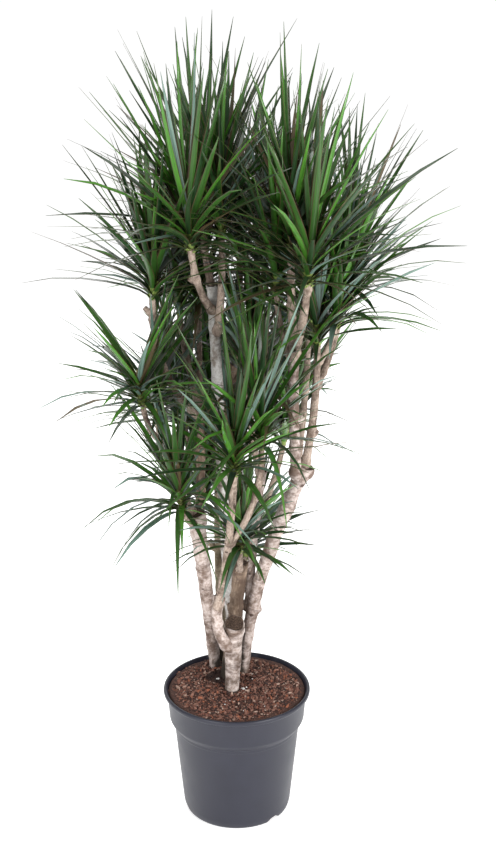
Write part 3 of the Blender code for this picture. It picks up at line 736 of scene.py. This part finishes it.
# How often each tone is dealt: to the upper sides, the undersides, the young leaves, and the lower heads,
# which get lighter tones and more of the grey-green painted sheen, as painted light in the crown's middle
UPPER_WEIGHTS = (43, 37, 13, 4, 3)
UNDER_WEIGHTS = (43, 38, 10, 6, 3)
YOUNG_WEIGHTS = (24, 44, 27, 4, 1)
LOW_WEIGHTS = (12, 31, 31, 23, 3)
YOUNG_AGE = 0.8  # the age of a leaf goes from 0, the oldest, to 1, the youngest
LOW_HEADS = 1.0  # height under which a head is a lower one


def blade_pattern():
    """One blade laid flat as a closed sliver: x is -1 to 1 across, y 0 to 1 along, z 1 above and -1 below."""
    bm = bmesh.new()
    loops = []
    for share in BLADE_RINGS:
        stand = Matrix.Translation((0, share, 0)) @ Matrix.Rotation(math.pi / 2, 4, "X")
        loops.append(add_ring(bm, stand, BLADE_SIDES)[0])
    for lower, upper in zip(loops, loops[1:]):
        bmesh.ops.bridge_loops(bm, edges=lower + upper)
    for loop in (loops[0], loops[-1]):
        bmesh.ops.contextual_create(bm, geom=loop)
    bmesh.ops.recalc_face_normals(bm, faces=bm.faces)
    for face in bm.faces:
        middle = face.calc_center_median()
        face.material_index = UNDER if middle.z < 0 else UPPER
        if abs(middle.x) > OUTER_FACES:
            face.material_index = EDGE
        if middle.y < PALE_BASE:
            face.material_index = BASE
        face.smooth = True
    # Corners between the fold and the rim move to where the edge begins
    for vert in bm.verts:
        if 0.1 < abs(vert.co.x) < 0.9:
            vert.co.x = math.copysign(EDGE_SHARE, vert.co.x)
    return new_mesh("blade_pattern", bm)


class Blade:
    """A leaf: it leaves the stem at its spread, sinks under its own weight and bends a little to one side."""

    def __init__(self, root, stem_direction, azimuth, spread, length, sag, bend, twist, width):
        side = level_way(azimuth)
        side = (side - stem_direction * side.dot(stem_direction)).normalized()
        self.aim = stem_direction * math.cos(spread) + side * math.sin(spread)
        self.aim.z = max(self.aim.z, LOWEST_AIM)
        self.aim.normalize()
        self.across = self.aim.cross(UP).normalized()
        self.clasp = stem_direction * CLASP * min(1.0, spread)
        self.root = root + side * STEM_TIP_RADIUS * min(1.0, spread)
        self.length = length
        self.sag = sag
        self.bend = bend
        self.twist = twist
        self.width = width

    def point(self, share):
        sunk = UP * self.sag * share ** (SAG_POWER + 1) / (SAG_POWER + 1)
        line = (self.aim * share - sunk + self.across * self.bend * share ** 2) * self.length
        return self.root + line - self.clasp * math.exp(-share / CLASP_SHARE)

    def place(self, flat):
        """Where a point of the flat pattern lies on the grown blade."""
        share = max(0.0, flat.y)
        ahead = (self.aim - UP * self.sag * share ** SAG_POWER + self.across * 2 * self.bend * share
                 + self.clasp * math.exp(-share / CLASP_SHARE) / (CLASP_SHARE * self.length)).normalized()
        across = (self.across - ahead * self.across.dot(ahead)).normalized()
        above = across.cross(ahead)
        turn = self.twist * (share - UNTWISTED)
        across, above = (across * math.cos(turn) + above * math.sin(turn),
                         above * math.cos(turn) - across * math.sin(turn))
        swelling = min(1.0, BASE_WIDTH + WIDENING * share)
        half_width = self.width / 2 * swelling * (1.0 - share ** TAPER_POWER) + TIP_HALF_WIDTH
        fold = (BASE_FOLD - FOLD_LOSS * share) * abs(flat.x) * half_width
        thickness = BLADE_THICKNESS / 2 * (1.0 - 0.5 * share) * flat.z
        return self.point(share) + across * flat.x * half_width + above * (fold + thickness)


# What a leaf has to keep clear of: the limbs, by the bark's thickness and a little more
LIMB_CLEARANCE = 0.004
BARK_STEPS = 80
bark_points = [(limb.arc.point(k / BARK_STEPS), limb.radius(k / BARK_STEPS))
               for limb in [*limbs.values(), *shoots] for k in range(BARK_STEPS)]
bark_tree = kdtree.KDTree(len(bark_points))
for number, (point, _) in enumerate(bark_points):
    bark_tree.insert(point, number)
bark_tree.balance()

# And where the crown stands open, seen from the front at eye height: x and z of two corners, in a plane at y.
# One can see right through the first two; behind the third stands the tall pale cane
EYE = Vector((0.0214, -2.5, 1.644))
Gap = namedtuple("Gap", "y low high through")
OPEN_GAPS = (
    Gap(0.0, (-0.215, 0.945), (-0.148, 1.03), True),
    Gap(0.0, (0.182, 0.755), (0.285, 0.935), True),
    Gap(0.036, (-0.053, 0.85), (-0.032, 1.02), False),
)
# A blade is tried at these of its steps, and only the last of them, at its thin tip, may show in a gap
TRIED_STEPS, FIRST_TRIED, TIP_STEP = 20, 3, 18


def in_gap(point):
    """Whether a point covers a gap from the front."""
    for gap in OPEN_GAPS:
        seen = EYE + (point - EYE) * (gap.y - EYE.y) / (point.y - EYE.y)
        inside = gap.low[0] < seen.x < gap.high[0] and gap.low[1] < seen.z < gap.high[1]
        if inside and (gap.through or point.y < gap.y):
            return True
    return False


def is_clear(blade):
    """Whether a blade passes every limb at a distance, and keeps out of the open gaps."""
    for k in range(FIRST_TRIED, TRIED_STEPS + 1):
        point = blade.point(k / TRIED_STEPS)
        _, number, gap = bark_tree.find(point)
        if gap < bark_points[number][1] + LIMB_CLEARANCE or k < TIP_STEP and in_gap(point):
            return False
    return True


def grow_leaves(head, chance):
    """The leaves of one head, oldest first; one that meets a limb is turned aside or left out."""
    start_angle = chance.uniform(0, 360)
    count = chance.randint(*LEAVES_PER_HEAD)
    for number in range(count):
        age = (number + 0.5) / count
        share = LEAFY_FROM + (LEAFY_TO - LEAFY_FROM) * age
        spread = OLDEST_SPREAD + (YOUNGEST_SPREAD - OLDEST_SPREAD) * age ** 0.6
        spread = max(LEAST_SPREAD, spread + chance.gauss(0, SPREAD_SCATTER))
        length = head.blade * (OLDEST_LENGTH + LENGTH_GAIN * age ** 0.7) * (1 - UNGROWN * age ** 8)
        length *= chance.uniform(*LENGTH_SCATTER)
        sag = head.sag * (YOUNGEST_SAG + SAG_GAIN * (1 - age) ** 1.1) * chance.uniform(*SAG_SCATTER)
        azimuth = start_angle + number * GOLDEN_ANGLE + chance.gauss(0, AZIMUTH_SCATTER)
        bend = chance.gauss(0, BEND_SCATTER)
        twist = math.radians(chance.gauss(0, TWIST_SCATTER))
        width = BLADE_WIDTH * chance.uniform(*WIDTH_SCATTER)
        stem = head.stem.arc
        for turn in SIDE_TURNS:
            blade = Blade(stem.point(share), stem.direction(share), math.radians(azimuth + turn),
                          math.radians(spread), length, min(MOST_SAG, sag), bend, twist, width)
            if is_clear(blade):
                yield blade, age
                break


def tone_weights(head, age):
    """The weights of the tones for a leaf's upper side and its underside."""
    if age > YOUNG_AGE:
        return YOUNG_WEIGHTS, YOUNG_WEIGHTS
    if head.stem.arc.start.z < LOW_HEADS:
        return LOW_WEIGHTS, LOW_WEIGHTS
    return UPPER_WEIGHTS, UNDER_WEIGHTS


def add_copy(bm, mesh):
    """Adds a mesh to a bmesh, and gives its new vertices and faces."""
    first_vert, first_face = len(bm.verts), len(bm.faces)
    bm.from_mesh(mesh)
    bm.verts.ensure_lookup_table()
    bm.faces.ensure_lookup_table()
    return bm.verts[first_vert:], bm.faces[first_face:]


pattern = blade_pattern()
tones = range(len(LEAF_TONES))
for head in heads:
    chance = random.Random(head.seed)
    bm = bmesh.new()
    on_leaf = bm.verts.layers.float_vector.new("on_leaf")
    for blade, age in grow_leaves(head, chance):
        upper, under = (chance.choices(tones, weights)[0] for weights in tone_weights(head, age))
        offset = chance.uniform(0, 50)
        verts, faces = add_copy(bm, pattern)
        for vert in verts:
            vert[on_leaf] = (vert.co.x * blade.width / 2 + offset, vert.co.y * blade.length, offset)
            vert.co = blade.place(vert.co)
        for face in faces:
            if face.material_index in (UPPER, UNDER):
                face.material_index = under if face.material_index == UNDER else upper
    new_piece(head.name + "_blades", bm, [*LEAF_TONES, leaf_edge, leaf_base], "leaf", head.name)
bpy.data.meshes.remove(pattern)

# The soil: a moist potting mix of peat and composted bark. Its body follows the pot's inside, and its top
# is covered with loose red-brown chips, fibres and dark crumbs, with a few white grains near the canes.
SOIL_EDGE = 0.1285
SOIL_DROP = 0.004  # how much lower the mix lies at the pot's wall
MIX_LEVEL = SOIL_TOP - 0.0012  # the top of the mix, under the chips
SOIL_PROFILE = (
    (0.0, POT_WALL + GAP, 0.0), (0.0925, POT_WALL + GAP, 0.001), (0.1004, 0.0145, 0.002),
    (0.1169, 0.1825, 0.002), (0.1259, 0.1945, 0.002), (0.1299, SOIL_TOP - SOIL_DROP, 0.001),
)
SOIL_STEPS = 96
SOIL_RINGS = 26  # rings of vertices on the soil's top
MIX_WAVES, MIX_UNEVENNESS = 90, 0.0016
CHIP_COUNT = 4800
CHIP_REACH = 0.1287
CHIP_LENGTHS = (0.0012, 0.0042)
LONG_CHIPS, LONGER = 0.1, 1.7  # this share of the chips is so much longer
CHIP_WIDTHS, CHIP_HEIGHTS = (0.3, 0.8), (0.2, 0.45)  # in chip lengths
CHIP_TILT = 26
CHIP_RAGGED, GRAIN_RAGGED = (0.7, 1.2), (0.8, 1.15)  # how far their corners move in or out
CHIP_LEVEL, CHIP_PILE = SOIL_TOP - 0.001, 0.0015
CHIP_WAVES, CHIP_UNEVENNESS = 60, 0.0015
DROP_FROM, DROP_REACH = 0.115, 0.0125  # the radius from which the chips slope to the pot's wall
MOUND_HEIGHT, MOUND_REACH = 0.0022, 0.007  # of the chips against a cane
Chip = namedtuple("Chip", "name colour deep weight")
CHIPS = (
    Chip("dark_peat_crumb", "#38231D", "#241511", 24), Chip("red_brown_bark_chip", "#71483B", "#513127", 40),
    Chip("brown_bark_chip", "#866052", "#654539", 32), Chip("orange_bark_chip", "#9C6044", "#784431", 6),
    Chip("dry_pale_chip", "#A98F81", "#8A7164", 9), Chip("white_perlite_grain", "#E2E0DE", "#BDB8B4", 0),
)
CRUMB, GRAIN = 0, len(CHIPS) - 1  # their slots
# A patch between the canes' feet gets only dark crumbs: moist soil, and painted shade from the canes round it
SHADED_WET_MIDDLE, SHADED_WET_REACH = Vector((-0.034, 0.042)), 0.024  # a patch of dark crumbs only
GRAIN_COUNT = 42
GRAIN_SIZES = (0.0006, 0.0017)
GRAIN_LEVEL = SOIL_TOP + 0.0022
# White grains of perlite lie in two small groups beside the stump, and a few are strewn about
GRAIN_GROUPS = (
    (Vector((-0.0364, 0.0292)), 0.002), (Vector((0.0138, -0.0097)), 0.003), (Vector((0.0, 0.0)), 0.05),
)

# Peat between the chips: dark, matt and crumbly
peat, tree, shader = new_material("moist_peat", Roughness=0.9)
crumbs = add_noise(tree, scale=(420, 420, 420), detail=5.0)
connect(shader,
        Base_Color=colour_ramp(tree, crumbs, (0.35, "#2C1A15"), (0.7, "#5C392D")),
        Normal=add_bump(tree, crumbs, strength=0.8, distance=0.002))

top_rings = [(SOIL_EDGE * (1 - k / SOIL_RINGS), MIX_LEVEL, 0.0) for k in range(SOIL_RINGS + 1)]
bm = spun(SOIL_PROFILE + tuple(top_rings), SOIL_STEPS)
for vert in bm.verts:
    if vert.co.z > SOIL_TOP - 0.002:
        vert.co.z += MIX_UNEVENNESS * noise.noise(vert.co * MIX_WAVES)
new_piece("potting_mix", bm, [peat], "potting_soil", "potting_soil").data.shade_smooth()

chips = bmesh.new()
chance = random.Random(5)
bm = bmesh.new()
bmesh.ops.create_icosphere(bm, subdivisions=1, radius=1.0)
flake = new_mesh("flake", bm)


def strew(matrix, slot, ragged):
    """Adds a ragged flake to the chips."""
    verts, faces = add_copy(chips, flake)
    for vert in verts:
        vert.co = matrix @ (vert.co * chance.uniform(*ragged))
    for face in faces:
        face.material_index = slot


for _ in range(CHIP_COUNT):
    radius = CHIP_REACH * math.sqrt(chance.random())
    angle = chance.uniform(0, 2 * math.pi)
    spot = Vector((radius * math.cos(angle), radius * math.sin(angle)))
    to_cane = min((spot - Vector(cane.foot)).length - cane.foot_radius for cane in CANES)
    if to_cane < 0:
        continue
    length = chance.uniform(*CHIP_LENGTHS) * (LONGER if chance.random() < LONG_CHIPS else 1)
    size = Matrix.Diagonal((length, length * chance.uniform(*CHIP_WIDTHS),
                            length * chance.uniform(*CHIP_HEIGHTS), 1.0))
    tumble = (Matrix.Rotation(chance.uniform(0, 2 * math.pi), 4, "Z")
              @ Matrix.Rotation(math.radians(chance.gauss(0, CHIP_TILT)), 4, "Y")
              @ Matrix.Rotation(math.radians(chance.gauss(0, CHIP_TILT)), 4, "X"))
    height = CHIP_LEVEL - SOIL_DROP * max(0.0, (radius - DROP_FROM) / DROP_REACH)
    height += CHIP_UNEVENNESS * noise.noise(Vector((*spot, 0.0)) * CHIP_WAVES) + chance.uniform(0, CHIP_PILE)
    height += MOUND_HEIGHT * math.exp(-to_cane / MOUND_REACH)
    slot = chance.choices(range(len(CHIPS)), [chip.weight for chip in CHIPS])[0]
    # Between the canes' feet only dark crumbs lie, for moist soil and for painted shade
    if (spot - SHADED_WET_MIDDLE).length < SHADED_WET_REACH:
        slot = CRUMB
    strew(Matrix.Translation((*spot, height)) @ tumble @ size, slot, CHIP_RAGGED)
for number in range(GRAIN_COUNT):
    middle, reach = GRAIN_GROUPS[number % len(GRAIN_GROUPS)]
    spot = middle + Vector((chance.gauss(0, reach), chance.gauss(0, reach)))
    size = chance.uniform(*GRAIN_SIZES)
    place = Matrix.Translation((*spot, GRAIN_LEVEL + size * 0.5))
    place @= Matrix.Rotation(chance.uniform(0, math.pi), 4, "Z")
    shape = Matrix.Diagonal((size, size * chance.uniform(0.5, 0.9), size * 0.7, 1.0))
    strew(place @ shape, GRAIN, GRAIN_RAGGED)
bpy.data.meshes.remove(flake)

# Each kind of chip is dry, matt and mottled in its own two tones
chip_materials = []
for chip in CHIPS:
    material, tree, shader = new_material(chip.name, Roughness=0.88)
    mottle = add_noise(tree, scale=(300, 300, 300), detail=3.0)
    tone = colour_ramp(tree, mottle, (0.35, chip.deep), (0.65, chip.colour))
    connect(shader, Base_Color=tone)
    chip_materials.append(material)
new_piece("bark_chips", chips, chip_materials, "potting_soil")

# The studio: a white floor that is lit until no shadow shows, large soft lights round the plant, a soft
# white room round it, and the camera at the height of the top leaves, looking down at the pot's rim.
FLOOR_RADIUS = 30.0
FLOOR_DROP = 0.0005  # the floor lies so far under the pot
FLOOR_GLOW = 0.46
ROOM_GLOW = 0.58
WHITE = linear("#FFFFFF")
Light = namedtuple("Light", "name place target size power")
LIGHTS = (
    Light("soft_light_left", (-1.6, -2.3, 1.3), (0, 0, 0.75), 1.0, 55),
    Light("soft_light_right", (1.9, -1.9, 1.15), (0, 0, 0.75), 1.0, 76),
    Light("soft_light_above", (-0.2, -0.5, 3.4), (0, 0, 0.9), 1.6, 30),
    Light("soft_light_behind", (-0.3, 2.6, 2.7), (0, 0, 0.6), 2.0, 44),
)
LENS = 62.5  # millimetres, on a 36 mm sensor
CAMERA_TILT = 19.06  # degrees below the horizon

floor_white, *_ = new_material("overlit_white_floor", Roughness=1.0, Base_Color=WHITE, Emission_Color=WHITE,
                               Emission_Strength=FLOOR_GLOW)
bm = bmesh.new()
bmesh.ops.create_circle(bm, cap_ends=True, segments=64, radius=FLOOR_RADIUS)
bmesh.ops.translate(bm, verts=bm.verts, vec=(0, 0, -FLOOR_DROP))
studio_floor = new_object("studio_floor", new_mesh("studio_floor", bm))
studio_floor.data.materials.append(floor_white)

world = bpy.data.worlds.new("white_studio")
world.use_nodes = True
room = world.node_tree.nodes["Background"]
room.inputs["Color"].default_value = WHITE
room.inputs["Strength"].default_value = ROOM_GLOW
bpy.context.scene.world = world
for light in LIGHTS:
    lamp = bpy.data.lights.new(light.name, "AREA")
    lamp.size = light.size
    lamp.energy = light.power
    stand = new_object(light.name, lamp)
    stand.visible_camera = False
    stand.location = light.place
    stand.rotation_euler = (Vector(light.target) - Vector(light.place)).to_track_quat("-Z", "Y").to_euler()
bpy.context.scene.view_settings.view_transform = "Standard"

lens = bpy.data.cameras.new("camera")
lens.lens = LENS
camera = new_object("camera", lens)
camera.location = EYE
camera.rotation_euler = (math.radians(90 - CAMERA_TILT), 0.0, 0.0)
bpy.context.scene.camera = camera

bpy.context.view_layer.update()
